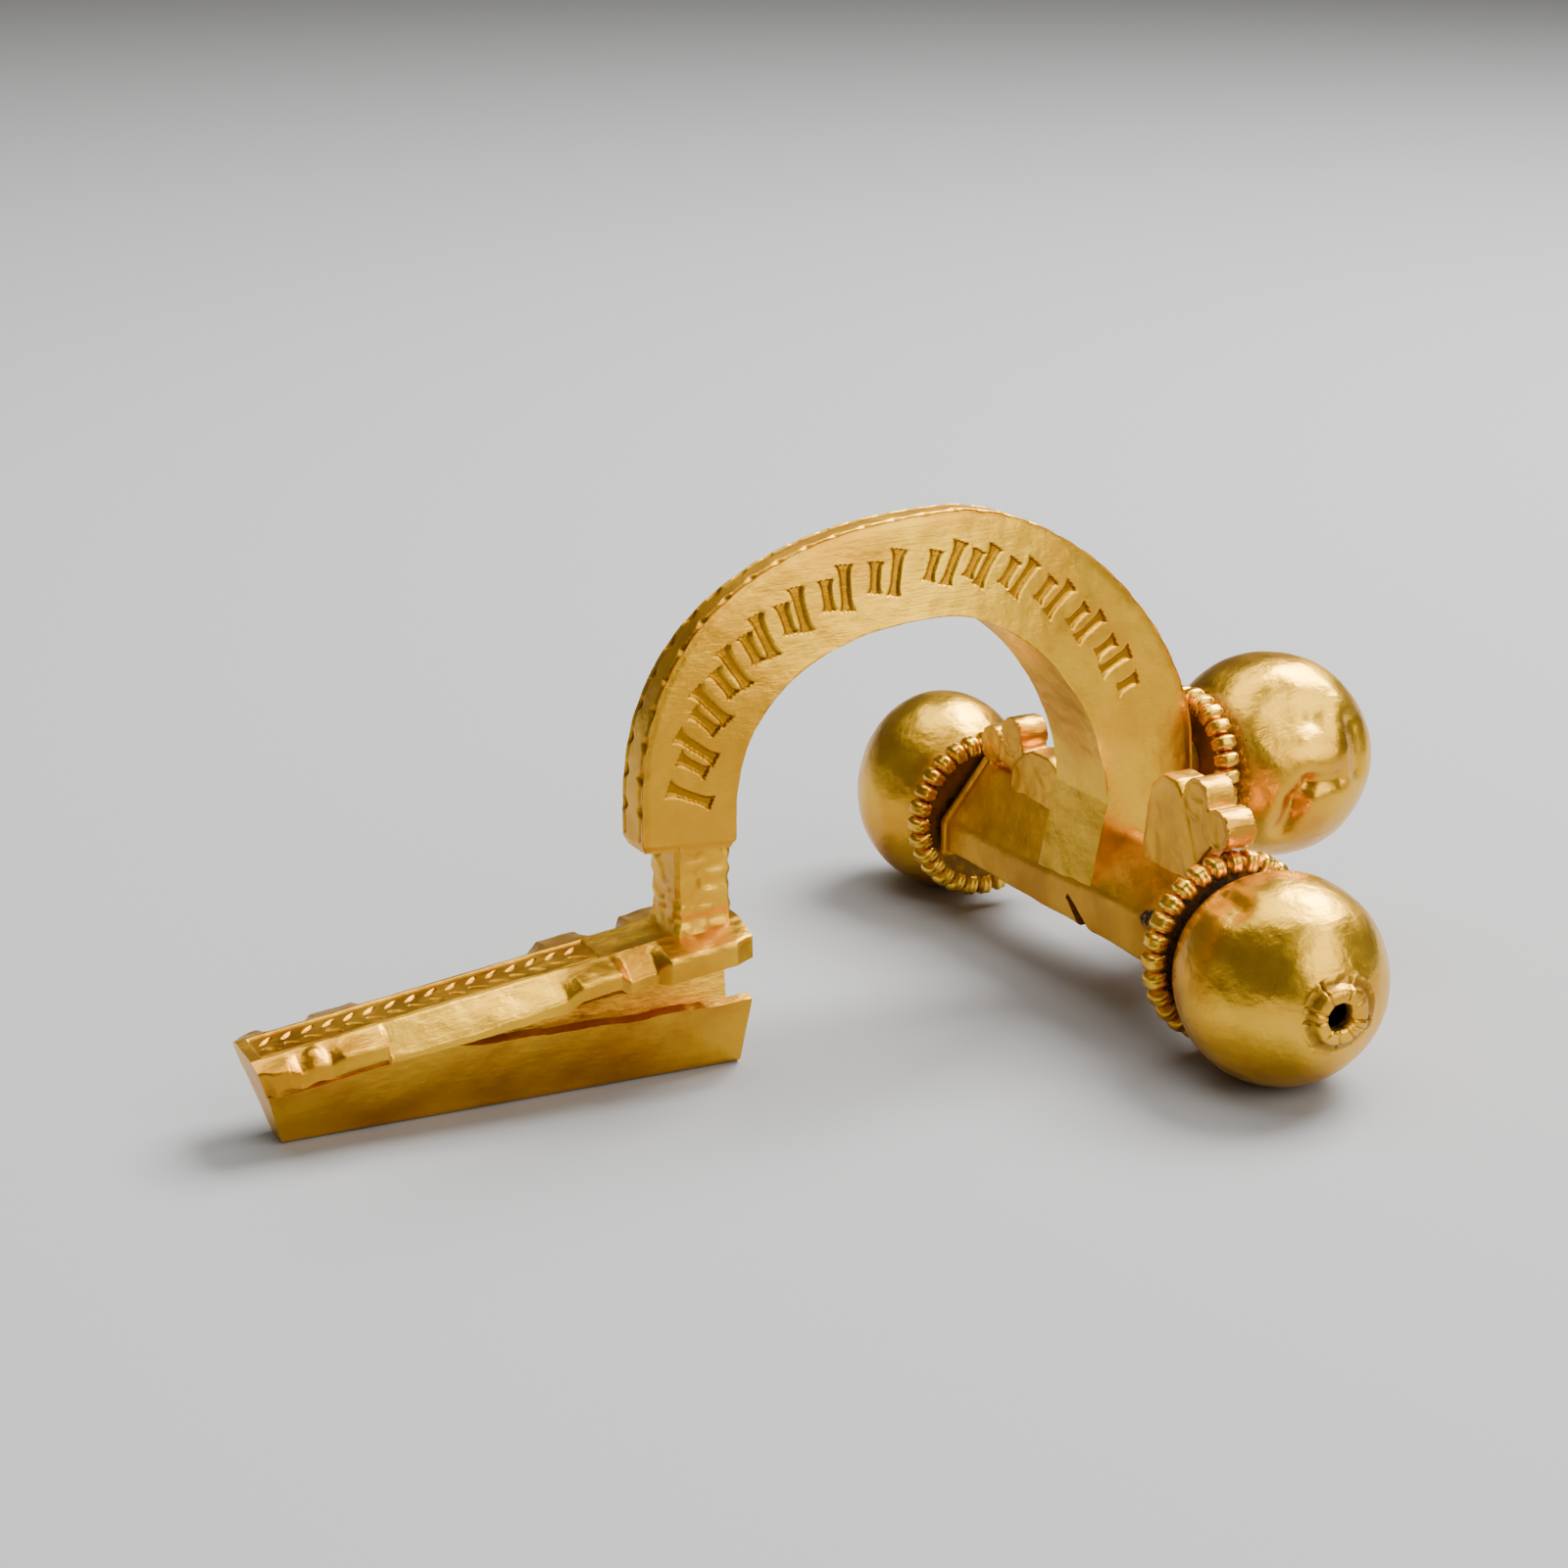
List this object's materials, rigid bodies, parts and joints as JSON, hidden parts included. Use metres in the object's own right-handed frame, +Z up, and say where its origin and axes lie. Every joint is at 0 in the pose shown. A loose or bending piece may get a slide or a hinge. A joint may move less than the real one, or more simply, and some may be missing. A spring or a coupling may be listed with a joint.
{
  "type": "crossbow brooch",
  "caption": "Gold brooch with an arched bow, a cross-arm with beaded collars and round knobs, and a long hollow catch foot.",
  "frame": {"origin": "bottom centre of the bounding box, on the surface that the brooch lies on", "axes": "+X from the tip of the foot to the head knob, +Y along the cross-arm from the near to the far knob, +Z up"},
  "size_m": [0.0586, 0.04, 0.0249],
  "materials": {
    "gold_bow": "burnished, fine scratches",
    "gold_foot": "worn, punched and engraved",
    "gold_sheath": "worn sheet, lightly hammered",
    "gold_arm": "worn, dull in the hollows",
    "gold_collars": "beaded, bright on the grains",
    "gold_knobs": "polished, dented",
    "gold_crests": "cut and pierced, bright on the edges"
  },
  "bodies": {
    "root": {"bow": "gold_bow", "foot_plate": "gold_foot", "catch_sheath": "gold_sheath", "cross_arm": "gold_arm", "near_collar": "gold_collars", "far_collar": "gold_collars", "head_collar": "gold_collars", "near_knob": "gold_knobs", "far_knob": "gold_knobs", "head_knob": "gold_knobs", "near_crest": "gold_crests", "far_crest": "gold_crests"}
  },
  "joints": []
}
